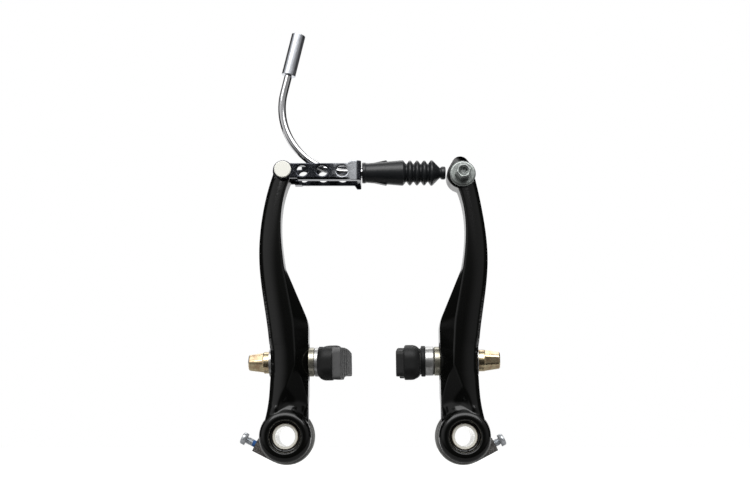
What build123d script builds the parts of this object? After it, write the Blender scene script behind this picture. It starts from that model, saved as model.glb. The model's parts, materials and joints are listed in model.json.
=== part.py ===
from build123d import *
import os
from math import cos, radians, sin, sqrt

# A linear-pull bicycle brake: two sprung arms with pads, a link, a guide pipe and a cable boot.
# Millimetres. +X runs to the right and +Z up along the arms, seen from the front at -Y.
# The origin lies midway between the pivots, on the plane of the bicycle's frame.
# Depth is measured forward from that plane: depth d lies at Y = -d.
# Points on an arm are pairs (out, up): outward from its own pivot axis, and up from it.

LEFT = -1
RIGHT = 1
NAMES = {LEFT: "left", RIGHT: "right"}
FORWARD = Vector(0, -1, 0)

# Layout
PIVOT_SPACING = 71.5
ARM_LEAN = 0.5  # degrees that both arms lean towards -X as laid out
PIN_HEIGHT = 108.1  # pivot axis to link pin
ANCHOR_HEIGHT = 106.6  # pivot axis to cable anchor
HEAD_HEIGHT = {LEFT: PIN_HEIGHT, RIGHT: ANCHOR_HEIGHT}
HEAD_OUTSET = 1.25
LEFT_POST_HEIGHT = 29.9
RIGHT_POST_HEIGHT = 30.6
POST_HEIGHT = {LEFT: LEFT_POST_HEIGHT, RIGHT: RIGHT_POST_HEIGHT}
POST_DEPTH = 11.8

# Clearances
RUNNING_FIT = 0.05  # radial, turning fits
THREAD_FIT = 0.02  # radial, screwed or pressed fits
SIDE_PLAY = 0.1  # between flat faces that slide on each other
SEAT_GAP = 0.4  # between cup and ball washer at the rim

# Pivot boss, bushing and spring housing
BOSS_RADIUS = 10.4
BOSS_FRONT = 22.9
BOSS_TOP_RADIUS = 9.5
BOSS_SHOULDER = 1.8  # height of the cone below the front face
BOSS_RIM_ROUND = 0.4
DISH_RADIUS = 8.0
DISH_DEPTH = 0.9
COUNTERBORE_RADIUS = 6.2
COUNTERBORE_FLOOR = 19.8
BUSHING_RADIUS = 5.2
BUSHING_BORE = 4.0
BUSHING_FRONT = 20.4
BUSHING_CHAMFER = 0.3
HOUSING_DEPTH = 11.0
HOUSING_RADIUS = 11.45
HOUSING_BACK_RADIUS = 10.8
HOUSING_RIM_BEVEL = 0.35
HOUSING_WALL = 1.6
HOUSING_FLOOR = 1.2
HOUSING_BORE_GAP = 0.4
SPIGOT_LENGTH = 1.4
SPIGOT_WALL = 2.4

# Tension screw and its tab
SCREW_ANGLE = 27.0
SCREW_RADIUS = 1.5
SCREW_LENGTH = 11.0
SCREW_DEPTH = 6.6
SCREW_HEAD_RADIUS = 2.45
SCREW_HEAD_HEIGHT = 2.1
SCREW_HEAD_ROUND = 0.7
SCREW_CROSS_LENGTH = 2.8
SCREW_CROSS_WIDTH = 0.7
SCREW_CROSS_DEPTH = 1.2
LEFT_SCREW_OUT = 4.4  # bare shank between head and tab
RIGHT_SCREW_OUT = 2.6
SCREW_OUT = {LEFT: LEFT_SCREW_OUT, RIGHT: RIGHT_SCREW_OUT}
TAB_REACH = 10.1
TAB_WIDTH = 5.6
SCREW_OFFSET = HOUSING_RADIUS - TAB_WIDTH / 2

# Return spring
ARM_SWING = 25.0  # degrees outward from the pose built here
WIRE_RADIUS = 0.65
COIL_RADIUS = 6.3
COIL_PITCH = 1.45
COIL_BACK = 2.1
COIL_FRONT = 6.6
LEG_GAP = 0.3  # between the spring's upper leg and the housing wall
PIN_SLOT_MARGIN = 4.0  # degrees past the swing at each end of the slot
SPRING_PIN_LENGTH = 6.0  # behind the mounting plane

# Arm forging
BAR_FRONT = 22.4
BAR_BACK = 12.4  # the slim upper part
LOWER_BACK = 6.0  # the deep part around the pad
FLANK_DEPTH = 16.5  # where the inner flank leaves the pad seat
SEAT_IN = 9.0  # pad seat, inward from the pivot axis
POCKET_FLOOR = 2.6  # outer washer seat, outward from the pivot axis
FOOT_ANGLE = 33.0
WAIST_OUT = 6.4  # narrowest place of the outer edge
WAIST_HEIGHT = 26.2
WAIST_REACH = 11.6  # the waist stays narrow this far up and down
WAIST_FLARE = 0.55
BULGE_OUT = 11.2
BULGE_HEIGHT = 71.6
SHOULDER_OUT = 8.35  # outer edge below the head, from the head's axis
SHOULDER_DROP = 15.5
CHEEK_IN = 2.9  # inner edge at the head, from the head's axis
CHEEK_DROP = 3.2
NECK_IN = 0.3
NECK_DROP = 10.8
THROAT_OUT = 0.85
THROAT_DROP = 25.0
SHELF_HEIGHT = 46.0
SHELF_START = 68.2
SHELF_START_OUT = 0.4
SHELF_ROUND = 15.0
SEAT_LOW = 3.0
RIDGE_START_OUT = 0.8
RIDGE_KNEE_IN = 2.7
RIDGE_KNEE_HEIGHT = 47.5
RIDGE_KNEE_LENGTH = 4.5
RIDGE_KNEE_STEP = 0.4
RIDGE_FOOT_IN = 6.0
CROWN_ROUND = 5.0  # along the outer front edge
RIDGE_ROUND = 0.7  # along the inner front edge
STEP_LOW = 43.0  # the back slopes forward from here
STEP_HIGH = 57.0
HEEL_LOW = 12.5  # the back clears the housing below here
HEEL_HIGH = 16.0
TONGUE_RADIUS = 4.3
SCOOP_APEX_IN = 4.4
SCOOP_APEX_HEIGHT = 30.2
SCOOP_FOOT_OUT = 1.9
SCOOP_FOOT_HEIGHT = 13.2
SCOOP_SLOPE = 30.0

# Cable anchor on the right arm
ANCHOR_BOSS_RADIUS = 5.85
ANCHOR_BOSS_IN = 0.5  # from the anchor axis
ANCHOR_CREST_RADIUS = 3.45
ANCHOR_CREST_IN = 0.8
ANCHOR_CREST_RISE = 4.3
ANCHOR_THREAD_RADIUS = 2.5
ANCHOR_WASHER_RADIUS = 5.35
ANCHOR_WASHER_HEIGHT = 1.6
ANCHOR_WASHER_DISH = 0.5
ANCHOR_HEAD_FLATS = 5.8
ANCHOR_HEAD_HEIGHT = 5.0
ANCHOR_HEAD_TURN = 11.0  # degrees, as the bolt came to rest
ANCHOR_SOCKET_FLATS = 3.0
ANCHOR_SOCKET_DEPTH = 2.2
ANCHOR_SOCKET_MOUTH = 2.15
ANCHOR_SOCKET_BEVEL = 0.6
ANCHOR_HEAD_CHAMFER = 0.4
CABLE_GROOVE_RADIUS = 0.9

# Pad post, slot and washers
POST_RADIUS = 3.0
POST_ROOT = 3.5  # length held in the pad base
POST_IN_NUT = 5.2
SLOT_WIDTH = 7.0
SLOT_TRAVEL = 8.0
POCKET_WIDTH = 14.0
POCKET_HEIGHT = 22.0
WASHER_RADIUS = 5.9
CUP_BORE = 4.1
CUP_HEIGHT = 2.2
BALL_RADIUS = 12.0
LEFT_INNER_RIM = 1.5  # height of the ball washer's cylindrical rim
RIGHT_INNER_RIM = 3.2
OUTER_RIM = 1.6
LEFT_PAD_YAW = 4.0  # degrees, near ends towards -X
RIGHT_PAD_YAW = 3.0
PAD_YAW = {LEFT: LEFT_PAD_YAW, RIGHT: RIGHT_PAD_YAW}
LEFT_PAD_PITCH = 3.2  # degrees about the post, near ends down
RIGHT_PAD_PITCH = 3.3
PAD_PITCH = {LEFT: LEFT_PAD_PITCH, RIGHT: RIGHT_PAD_PITCH}

# Pads
PAD_LENGTH = 52.0
PAD_HEIGHT = 13.3
PAD_BASE = 6.3
PAD_BASE_ROUND = 3.6
PAD_CORNER = 5.0
PAD_BOSS_RADIUS = 6.3
PAD_BOSS_HEIGHT = 1.8
FRICTION_HEIGHT = 3.2
FRICTION_LENGTH = 50.0
FRICTION_WIDE = 12.3
FRICTION_NARROW = 10.0
FRICTION_CORNER = 1.5
RIM_RADIUS = 285.0
GROOVE_PITCH = 9.5
GROOVE_WIDTH = 3.0
GROOVE_DEPTH = 1.6
GROOVES = 3

# Pad nut
NUT_COLLAR_RADIUS = 4.4
NUT_COLLAR = 2.5
NUT_BASE_RADIUS = 4.25
NUT_END_RADIUS = 3.35
NUT_BASE_FLATS = 7.9
NUT_END_FLATS = 6.25
NUT_TAPER = 6.3
LEFT_NUT_TURN = 30.0  # degrees about the post, as the nuts came to rest
RIGHT_NUT_TURN = 0.0
NUT_TURN = {LEFT: LEFT_NUT_TURN, RIGHT: RIGHT_NUT_TURN}
NUT_SOCKET_FLATS = 4.0
NUT_SOCKET_DEPTH = 2.8
NUT_CHAMFER = 0.4

# Link
LINK_SHEET = 1.5
LINK_REACH = 32.2  # pin to the outer face of the end wall
LINK_TOP = 2.8  # edges of the side plates, from the pin
LINK_BOTTOM = 3.4
LINK_FLARE_TOP = 4.0
LINK_FLARE_BOTTOM = 4.2
LINK_FLARE_LENGTH = 4.2
LINK_FLARE_SLOPE = 1.5
LINK_TAB_BOTTOM = 5.6  # low tab at the end of the back plate
LINK_TAB_LENGTH = 1.7
LINK_BEND = 1.2
LINK_EYE_RADIUS = 4.0
LINK_HOLE_RADIUS = 2.3
LINK_HOLE_START = 8.0
LINK_HOLE_PITCH = 8.2
LINK_HOLE_BEVEL = 0.3
LINK_HOLES = 3
LINK_KEY_WIDTH = 2.2
CABLE_RISE = 0.15  # cable line above the pin
LUG_START = 4.4
LUG_LENGTH = 3.0
LUG_DROP = 0.9
LUG_ROOT = 1.0
LUG_DEPTH = 2.6
PIN_RADIUS = 2.4
PIN_HEAD_RADIUS = 3.45
PIN_HEAD_HEIGHT = 1.2
PIN_HEAD_ROUND = 0.35

# Guide pipe
PIPE_RADIUS = 1.6
PIPE_BORE = 1.15
PIPE_BEND = 28.2
PIPE_TAIL = 0.45  # straight part between the bend and the tip
PIPE_TOP = 7.8  # straight part between the bend and the ferrule
PIPE_TILT = 13.0  # degrees off vertical at the ferrule
LINER_RADIUS = 1.1
LINER_BORE = 0.8
TIP_SHOULDER = 3.3
TIP_SHOULDER_LENGTH = 3.2
TIP_NECK = 2.4
TIP_NOSE = 9.0  # past the end wall
TIP_SOCKET = 2.4
TIP_BORE = 1.0
FERRULE_RADIUS = 2.9
FERRULE_BORE = 2.5
FERRULE_LENGTH = 18.4
FERRULE_GRIP = 4.2  # length crimped on the pipe
FERRULE_ROUND = 0.25

# Cable boot
BOOT_GAP = 0.4  # to the link
BOOT_TIP_GAP = 0.4  # to the head of the right arm
BOOT_FLANGE_RADIUS = 4.35
BOOT_FLANGE_LENGTH = 1.5
BOOT_NECK_RADIUS = 4.0
BOOT_BODY_RADIUS = 5.35
BOOT_SHOULDER = 1.4  # body to the first valley
BOOT_CREST_RADIUS = 5.7
BOOT_VALLEY_RADIUS = 3.5
BOOT_FOLD_PITCH = 2.97
BOOT_FOLDS = 4
BOOT_CONE_END_RADIUS = 1.8
BOOT_CONE_LENGTH = 3.9
BOOT_BEAD_RADIUS = 2.75
BOOT_BEAD_LENGTH = 2.0
BOOT_CAVITY_RADIUS = 2.85
BOOT_MOUTH_RADIUS = 0.9
BOOT_CREST_ROUND = 0.6
BOOT_VALLEY_ROUND = 0.3
BOOT_FLANGE_ROUND = 0.25
BOOT_BEAD_ROUND = 0.6
BOOT_LUG_START = 4.4
BOOT_LUG_LENGTH = 5.8
BOOT_LUG_RISE = 0.5
BOOT_LUG_WIDTH = 3.0


def arm_plane(side, depth):
    """Front-facing plane at an arm's pivot axis, leaning with the arm."""
    lean = radians(ARM_LEAN)
    return Plane(
        origin=(side * PIVOT_SPACING / 2, -depth, 0),
        x_dir=(cos(lean), 0, sin(lean)),
        z_dir=(0, -1, 0),
    )


def on_arm(side, points):
    return [(side * out, up) for out, up in points]


def at_arm(side, out, up, depth):
    """Point in space at an arm's (out, up) and depth."""
    plane = arm_plane(side, depth)
    return plane.origin + plane.x_dir * (side * out) + plane.y_dir * up


def section(plane):
    """Half-section plane of a turned part: local x is the radius, local y runs along plane's axis."""
    return Plane(origin=plane.origin, x_dir=plane.x_dir, z_dir=plane.y_dir * -1)


def turn(plane):
    revolve(axis=Axis(plane.origin, plane.z_dir))


def circles(builder, radius):
    """Round edges of this radius."""
    return builder.edges().filter_by(
        lambda e: e.geom_type == GeomType.CIRCLE and abs(e.radius - radius) < THREAD_FIT
    )


def save(builder, name):
    builder.part.label = name
    export_step(builder.part, "parts/" + name + ".step")


# Arm forgings

FOOT = (BOSS_RADIUS * cos(radians(FOOT_ANGLE)), BOSS_RADIUS * sin(radians(FOOT_ANGLE)))
SEAT_FOOT = (-SEAT_IN, SEAT_LOW)
SHELF_TOP = (SHELF_START_OUT, SHELF_START)
RIDGE_START = (RIDGE_START_OUT, SHELF_START)
RIDGE = [
    RIDGE_START,
    (-RIDGE_KNEE_IN, RIDGE_KNEE_HEIGHT),
    (-RIDGE_KNEE_IN - RIDGE_KNEE_STEP, RIDGE_KNEE_HEIGHT - RIDGE_KNEE_LENGTH),
    (-RIDGE_FOOT_IN, SEAT_LOW),
]


def outer_edge(side):
    """Points of the outer edge from the pivot boss up to the head."""
    head = HEAD_HEIGHT[side]
    head_out = TONGUE_RADIUS if side == LEFT else ANCHOR_BOSS_RADIUS - ANCHOR_BOSS_IN
    return on_arm(side, [
        FOOT,
        (WAIST_OUT + WAIST_FLARE, WAIST_HEIGHT - WAIST_REACH),
        (WAIST_OUT, WAIST_HEIGHT),
        (WAIST_OUT + WAIST_FLARE, WAIST_HEIGHT + WAIST_REACH),
        (BULGE_OUT, BULGE_HEIGHT),
        (HEAD_OUTSET + SHOULDER_OUT, head - SHOULDER_DROP),
        (HEAD_OUTSET + head_out, head),
    ])


def inner_edge(side, end):
    """Points of the inner edge of the slim part, from the head down to the end given."""
    head = HEAD_HEIGHT[side]
    return on_arm(side, [
        (HEAD_OUTSET - CHEEK_IN, head - CHEEK_DROP),
        (HEAD_OUTSET - NECK_IN, head - NECK_DROP),
        (HEAD_OUTSET + THROAT_OUT, head - THROAT_DROP),
        end,
    ])


def seat_outline(side, depth):
    """Full outline of the forging, out to the flat pad seat."""
    with BuildSketch(arm_plane(side, depth)) as outline:
        with BuildLine():
            outer = Spline(*outer_edge(side))
            inner = Spline(*inner_edge(side, SHELF_TOP))
            corner, foot = on_arm(side, [(-SEAT_IN, SHELF_HEIGHT), SEAT_FOOT])
            shelf = FilletPolyline(inner @ 1, corner, foot, radius=SHELF_ROUND)
            Line(outer @ 1, inner @ 0)
            Line(shelf @ 1, outer @ 0)
        make_face()
    return outline.sketch


def ridge_outline(side, depth):
    """Outline of the front face, whose inner edge is the ridge above the flank."""
    with BuildSketch(arm_plane(side, depth)) as outline:
        with BuildLine():
            outer = Spline(*outer_edge(side))
            inner = Spline(*inner_edge(side, RIDGE_START))
            ridge = Polyline(*on_arm(side, RIDGE))
            Line(outer @ 1, inner @ 0)
            Line(ridge @ 1, outer @ 0)
        make_face()
    return outline.sketch


def scoop_plane(side):
    """Sloping facet between the front face and the pivot boss."""
    apex = at_arm(side, -SCOOP_APEX_IN, SCOOP_APEX_HEIGHT, BAR_FRONT)
    foot = at_arm(side, SCOOP_FOOT_OUT, SCOOP_FOOT_HEIGHT, BAR_FRONT)
    along = (foot - apex).normalized()
    across = along.cross(FORWARD) * side
    slope = radians(SCOOP_SLOPE)
    return Plane(origin=apex, x_dir=along, z_dir=FORWARD * cos(slope) + across * sin(slope))


def back_profile(side, points):
    """Outline of a cut across the whole arm, seen from its side, with points as (depth, up)."""
    plane = arm_plane(side, 0)
    with BuildSketch(Plane(origin=plane.origin, x_dir=FORWARD, z_dir=plane.x_dir * -1)) as profile:
        Polygon(*points, align=None)
    return profile.sketch


def post_plane(side, yaw):
    """Plane across the pad post at the middle of the arm's web, with its axis pointing outward."""
    plane = arm_plane(side, POST_DEPTH)
    swing = radians(yaw)
    outward = (plane.x_dir * cos(swing) + FORWARD * sin(swing)) * side
    middle = at_arm(side, (POCKET_FLOOR - SEAT_IN) / 2, POST_HEIGHT[side], POST_DEPTH)
    return Plane(origin=middle, x_dir=plane.y_dir, z_dir=outward)


WEB = SEAT_IN + POCKET_FLOOR


def make_arm(side):
    reach = PIVOT_SPACING  # longer than any cut across the arm needs
    top = HEAD_HEIGHT[side] + reach
    behind = LOWER_BACK - SIDE_PLAY
    with BuildPart() as arm:
        extrude(seat_outline(side, LOWER_BACK), amount=FLANK_DEPTH - LOWER_BACK)
        loft([seat_outline(side, FLANK_DEPTH), ridge_outline(side, BAR_FRONT)], ruled=True)
        front = arm.edges().group_by(Axis.Y)[0].sort_by(Axis.Z)[1:-1]
        *inner, outer = front.sort_by(SortBy.LENGTH)
        fillet(inner, RIDGE_ROUND)
        fillet(outer, CROWN_ROUND)
        step = [(behind, STEP_LOW), (LOWER_BACK, STEP_LOW), (BAR_BACK, STEP_HIGH), (BAR_BACK, top),
                (behind, top)]
        heel = [(behind, -top), (behind, HEEL_HIGH), (LOWER_BACK, HEEL_HIGH), (HOUSING_DEPTH, HEEL_LOW),
                (HOUSING_DEPTH, -top)]
        for points in (step, heel):
            extrude(back_profile(side, points), amount=reach, both=True, mode=Mode.SUBTRACT)
        with BuildSketch(scoop_plane(side)):
            Rectangle(reach, reach)
        extrude(amount=reach, mode=Mode.SUBTRACT)

        # Head of the arm
        with BuildSketch(arm_plane(side, BAR_BACK)):
            with Locations((side * HEAD_OUTSET, HEAD_HEIGHT[side])):
                if side == LEFT:
                    Circle(TONGUE_RADIUS)
                else:
                    with Locations((-ANCHOR_BOSS_IN, 0)):
                        Circle(ANCHOR_BOSS_RADIUS)
                    with Locations((-ANCHOR_CREST_IN, ANCHOR_CREST_RISE)):
                        Circle(ANCHOR_CREST_RADIUS)
            make_hull()
        extrude(amount=BAR_FRONT - BAR_BACK)

        # Pivot boss with its coned front and its spigot in the housing
        with BuildSketch(section(arm_plane(side, 0))):
            with BuildLine():
                Polyline(
                    (0, HOUSING_DEPTH),
                    (BOSS_RADIUS, HOUSING_DEPTH),
                    (BOSS_RADIUS, BOSS_FRONT - BOSS_SHOULDER),
                    (BOSS_TOP_RADIUS, BOSS_FRONT),
                    (0, BOSS_FRONT),
                    close=True,
                )
            make_face()
        turn(arm_plane(side, 0))
        fillet(arm.edges().group_by(Axis.Y)[0], BOSS_RIM_ROUND)
        with BuildSketch(arm_plane(side, HOUSING_DEPTH)):
            Circle(HOUSING_RADIUS - HOUSING_WALL - RUNNING_FIT)
            Circle(HOUSING_RADIUS - HOUSING_WALL - SPIGOT_WALL, mode=Mode.SUBTRACT)
        extrude(amount=-SPIGOT_LENGTH)
        with BuildSketch(section(arm_plane(side, 0))):
            with BuildLine():
                Polyline(
                    (0, COUNTERBORE_FLOOR),
                    (COUNTERBORE_RADIUS, COUNTERBORE_FLOOR),
                    (COUNTERBORE_RADIUS, BOSS_FRONT - DISH_DEPTH),
                    (DISH_RADIUS, BOSS_FRONT),
                    (DISH_RADIUS, BOSS_FRONT + DISH_DEPTH),
                    (0, BOSS_FRONT + DISH_DEPTH),
                    close=True,
                )
            make_face()
        revolve(axis=Axis(arm_plane(side, 0).origin, FORWARD), mode=Mode.SUBTRACT)
        with BuildSketch(arm_plane(side, 0)):
            Circle(BUSHING_RADIUS + RUNNING_FIT)
        extrude(amount=BOSS_FRONT, mode=Mode.SUBTRACT)

        # Pad slot and the pocket for the outer washers
        web = post_plane(side, 0)
        with BuildSketch(web.offset(WEB / 2)):
            SlotOverall(POCKET_HEIGHT, POCKET_WIDTH)
        extrude(amount=reach, mode=Mode.SUBTRACT)
        with BuildSketch(web):
            SlotOverall(SLOT_WIDTH + SLOT_TRAVEL, SLOT_WIDTH)
        extrude(amount=WEB, both=True, mode=Mode.SUBTRACT)

        # Hole for the link pin or the anchor bolt
        hole = PIN_RADIUS if side == LEFT else ANCHOR_THREAD_RADIUS
        with BuildSketch(arm_plane(side, 0)):
            with Locations((side * HEAD_OUTSET, HEAD_HEIGHT[side])):
                Circle(hole + THREAD_FIT)
        extrude(amount=BAR_FRONT, mode=Mode.SUBTRACT)
    save(arm, NAMES[side] + "_arm")


# Pivot bushings, spring housings, springs and tension screws

SCREW_DIR = (cos(radians(SCREW_ANGLE)), sin(radians(SCREW_ANGLE)))
SCREW_FOOT = (SCREW_OFFSET * SCREW_DIR[1], -SCREW_OFFSET * SCREW_DIR[0])


def along_screw(reach, lift):
    """(out, up) of a point by its distance along the screw axis and across it, away from the pivot."""
    out = SCREW_FOOT[0] + reach * SCREW_DIR[0] + lift * SCREW_DIR[1]
    up = SCREW_FOOT[1] + reach * SCREW_DIR[1] - lift * SCREW_DIR[0]
    return (out, up)


def screw_plane(side, reach):
    """Plane across the screw, its axis pointing out of the tab."""
    plane = arm_plane(side, SCREW_DEPTH)
    axis = plane.x_dir * (side * SCREW_DIR[0]) + plane.y_dir * SCREW_DIR[1]
    return Plane(origin=at_arm(side, *along_screw(reach, 0), SCREW_DEPTH), x_dir=FORWARD, z_dir=axis)


COIL_TURNS = (COIL_FRONT - COIL_BACK) / COIL_PITCH


def coil_plane(side, depth):
    """Plane whose x axis points at the back end of the coil, the front end being straight up."""
    plane = arm_plane(side, depth)
    wound = radians(360 * COIL_TURNS)
    back_end = plane.y_dir * cos(wound) + plane.x_dir * (side * sin(wound))
    return Plane(origin=plane.origin, x_dir=back_end, z_dir=FORWARD)


def make_bushing(side):
    with BuildPart() as bushing:
        with BuildSketch(arm_plane(side, 0)):
            Circle(BUSHING_RADIUS)
            Circle(BUSHING_BORE, mode=Mode.SUBTRACT)
        extrude(amount=BUSHING_FRONT)
        ends = bushing.faces().filter_by(Axis.Y)
        chamfer(ends.edges().filter_by(lambda e: e.radius > BUSHING_BORE), BUSHING_CHAMFER)
    save(bushing, NAMES[side] + "_pivot_bushing")


def make_housing(side):
    slot_ends = sorted([-side * PIN_SLOT_MARGIN, side * (ARM_SWING + PIN_SLOT_MARGIN)])
    pin_path = Edge.make_circle(COIL_RADIUS, Plane.XY, *slot_ends)
    with BuildPart() as housing:
        with BuildSketch(arm_plane(side, 0)):
            Circle(HOUSING_BACK_RADIUS)
        with BuildSketch(arm_plane(side, HOUSING_DEPTH)):
            Circle(HOUSING_RADIUS)
        loft()
        chamfer(housing.edges().sort_by(Axis.Y)[0], HOUSING_RIM_BEVEL)
        with BuildSketch(arm_plane(side, 0)):
            half = TAB_WIDTH / 2
            tab = [(0, half), (TAB_REACH, half), (TAB_REACH, -half), (0, -half)]
            Polygon(*on_arm(side, [along_screw(reach, lift) for reach, lift in tab]), align=None)
        extrude(amount=HOUSING_DEPTH)
        with BuildSketch(arm_plane(side, HOUSING_FLOOR)):
            Circle(HOUSING_RADIUS - HOUSING_WALL)
        extrude(amount=HOUSING_DEPTH, mode=Mode.SUBTRACT)
        with BuildSketch(arm_plane(side, 0)):
            Circle(BUSHING_RADIUS + HOUSING_BORE_GAP)
        with BuildSketch(coil_plane(side, 0)):
            SlotArc(pin_path, 2 * (WIRE_RADIUS + HOUSING_BORE_GAP))
        extrude(amount=HOUSING_FLOOR, mode=Mode.SUBTRACT)
        with BuildSketch(screw_plane(side, TAB_REACH - SCREW_LENGTH)):
            Circle(SCREW_RADIUS + THREAD_FIT)
        extrude(amount=SCREW_LENGTH, mode=Mode.SUBTRACT)
    save(housing, NAMES[side] + "_spring_housing")


def make_spring(side):
    back = coil_plane(side, COIL_BACK)
    helix = Edge.make_helix(COIL_PITCH, COIL_FRONT - COIL_BACK, COIL_RADIUS, lefthand=side == LEFT)
    path = back.location * helix
    up = arm_plane(side, COIL_FRONT).y_dir
    front_end = arm_plane(side, COIL_FRONT).origin + up * COIL_RADIUS
    leg = HOUSING_RADIUS - HOUSING_WALL - LEG_GAP - COIL_RADIUS
    with BuildPart() as spring:
        with BuildSketch(Plane(origin=path @ 0, z_dir=path % 0)):
            Circle(WIRE_RADIUS)
        sweep(path=path, is_frenet=True)
        with BuildSketch(Plane(origin=path @ 0, z_dir=(0, 1, 0))):
            Circle(WIRE_RADIUS)
        extrude(amount=COIL_BACK + SPRING_PIN_LENGTH)
        with BuildSketch(Plane(origin=front_end, z_dir=up)):
            Circle(WIRE_RADIUS)
        extrude(amount=leg)
        with Locations(path @ 0, path @ 1):
            Sphere(WIRE_RADIUS)
    save(spring, NAMES[side] + "_return_spring")


def make_tension_screw(side):
    under_head = screw_plane(side, TAB_REACH + SCREW_OUT[side])
    with BuildPart() as screw:
        with BuildSketch(under_head):
            Circle(SCREW_HEAD_RADIUS)
        extrude(amount=SCREW_HEAD_HEIGHT)
        fillet(screw.edges().group_by(lambda e: (e.center() - under_head.origin).length)[-1], SCREW_HEAD_ROUND)
        with BuildSketch(under_head):
            Circle(SCREW_RADIUS)
        extrude(amount=-SCREW_LENGTH)
        with BuildSketch(under_head.offset(SCREW_HEAD_HEIGHT)):
            Rectangle(SCREW_CROSS_LENGTH, SCREW_CROSS_WIDTH)
            Rectangle(SCREW_CROSS_WIDTH, SCREW_CROSS_LENGTH)
        extrude(amount=-SCREW_CROSS_DEPTH, mode=Mode.SUBTRACT)
    save(screw, NAMES[side] + "_tension_screw")


# Pads with their posts, washers and nuts

DOME_DROP = BALL_RADIUS - sqrt(BALL_RADIUS**2 - WASHER_RADIUS**2)
BALL_CENTRE = CUP_HEIGHT + SEAT_GAP - DOME_DROP + BALL_RADIUS  # from the seat on the arm
INNER = -1
OUTER = 1
RIMS = {(LEFT, INNER): LEFT_INNER_RIM, (RIGHT, INNER): RIGHT_INNER_RIM, (LEFT, OUTER): OUTER_RIM,
        (RIGHT, OUTER): OUTER_RIM}


def ball_back(side, face):
    """Position of a ball washer's flat back on the axis from the ball's centre."""
    return CUP_HEIGHT + SEAT_GAP + RIMS[side, face] - BALL_CENTRE


def ball_reach(side):
    """Distance along the tilted post from the middle of the web to a ball's centre."""
    return (WEB / 2 + BALL_CENTRE) / cos(radians(PAD_YAW[side]))


def ball_plane(side, face, yaw):
    """Plane at a ball's centre, its axis pointing away from the arm and turned by yaw."""
    post = post_plane(side, PAD_YAW[side])
    turned = post_plane(side, yaw)
    centre = post.origin + post.z_dir * (face * ball_reach(side))
    return Plane(origin=centre, x_dir=turned.x_dir, z_dir=turned.z_dir * face)


def washer_strip(bore, bottom, top):
    with Locations(((bore + WASHER_RADIUS) / 2, (bottom + top) / 2)):
        Rectangle(WASHER_RADIUS - bore, top - bottom)


def make_washers(side, face, name):
    straight = ball_plane(side, face, 0)
    with BuildPart() as cup:
        with BuildSketch(section(straight)):
            washer_strip(CUP_BORE, -BALL_CENTRE, CUP_HEIGHT - BALL_CENTRE)
            Circle(BALL_RADIUS, mode=Mode.SUBTRACT)
        turn(straight)
    save(cup, NAMES[side] + "_" + name + "_cup_washer")

    tilted = ball_plane(side, face, PAD_YAW[side])
    with BuildPart() as ball:
        with BuildSketch(section(tilted)):
            washer_strip(POST_RADIUS + RUNNING_FIT, -BALL_CENTRE, ball_back(side, face))
            Circle(BALL_RADIUS - THREAD_FIT, mode=Mode.INTERSECT)
        turn(tilted)
    save(ball, NAMES[side] + "_" + name + "_ball_washer")


def arc_band(plane, length, wide, narrow, corner):
    """Outline of a strip that follows the rim, wide at +y and narrow at -y."""
    end = length / 2
    sag = end**2 / (2 * RIM_RADIUS)
    middle = (wide + narrow) / 4
    with BuildSketch(plane) as band:
        with BuildLine():
            upper = ThreePointArc((narrow / 2 - sag, -end), (middle, 0), (wide / 2 - sag, end))
            lower = ThreePointArc((-wide / 2 - sag, end), (-middle, 0), (-narrow / 2 - sag, -end))
            Line(upper @ 1, lower @ 0)
            Line(lower @ 1, upper @ 0)
        make_face()
        fillet(band.vertices(), corner)
    return band.sketch


def make_pad(side):
    seat = ball_plane(side, INNER, PAD_YAW[side]).offset(ball_back(side, INNER))
    pitch = radians(PAD_PITCH[side])
    upright = seat.x_dir * cos(pitch) - seat.y_dir * (side * sin(pitch))
    back = Plane(origin=seat.origin, x_dir=upright, z_dir=seat.z_dir)
    base = back.offset(PAD_BOSS_HEIGHT)
    front = base.offset(PAD_BASE)
    with BuildPart() as pad:
        extrude(arc_band(base, PAD_LENGTH, PAD_HEIGHT, PAD_HEIGHT, PAD_CORNER), amount=PAD_BASE)
        fillet(pad.faces().sort_by(Axis(back.origin, back.z_dir))[0].edges(), PAD_BASE_ROUND)
        friction = arc_band(front, FRICTION_LENGTH, FRICTION_WIDE, FRICTION_NARROW, FRICTION_CORNER)
        extrude(friction, amount=FRICTION_HEIGHT)
        with BuildSketch(front.offset(FRICTION_HEIGHT)):
            for groove in range(GROOVES):
                with Locations((0, groove * GROOVE_PITCH)):
                    Rectangle(PAD_HEIGHT * 2, GROOVE_WIDTH)
        extrude(amount=-GROOVE_DEPTH, mode=Mode.SUBTRACT)
        with BuildSketch(back):
            Circle(PAD_BOSS_RADIUS)
        extrude(amount=PAD_BOSS_HEIGHT)
        with BuildSketch(back):
            Circle(POST_RADIUS + THREAD_FIT)
        extrude(amount=PAD_BOSS_HEIGHT + POST_ROOT, mode=Mode.SUBTRACT)
    save(pad, NAMES[side] + "_brake_pad")


def make_post(side):
    start = -ball_reach(side) - ball_back(side, INNER) - PAD_BOSS_HEIGHT - POST_ROOT
    end = ball_reach(side) + ball_back(side, OUTER) + POST_IN_NUT
    with BuildPart() as post:
        with BuildSketch(post_plane(side, PAD_YAW[side]).offset(start)):
            Circle(POST_RADIUS)
        extrude(amount=end - start)
    save(post, NAMES[side] + "_pad_post")


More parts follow.
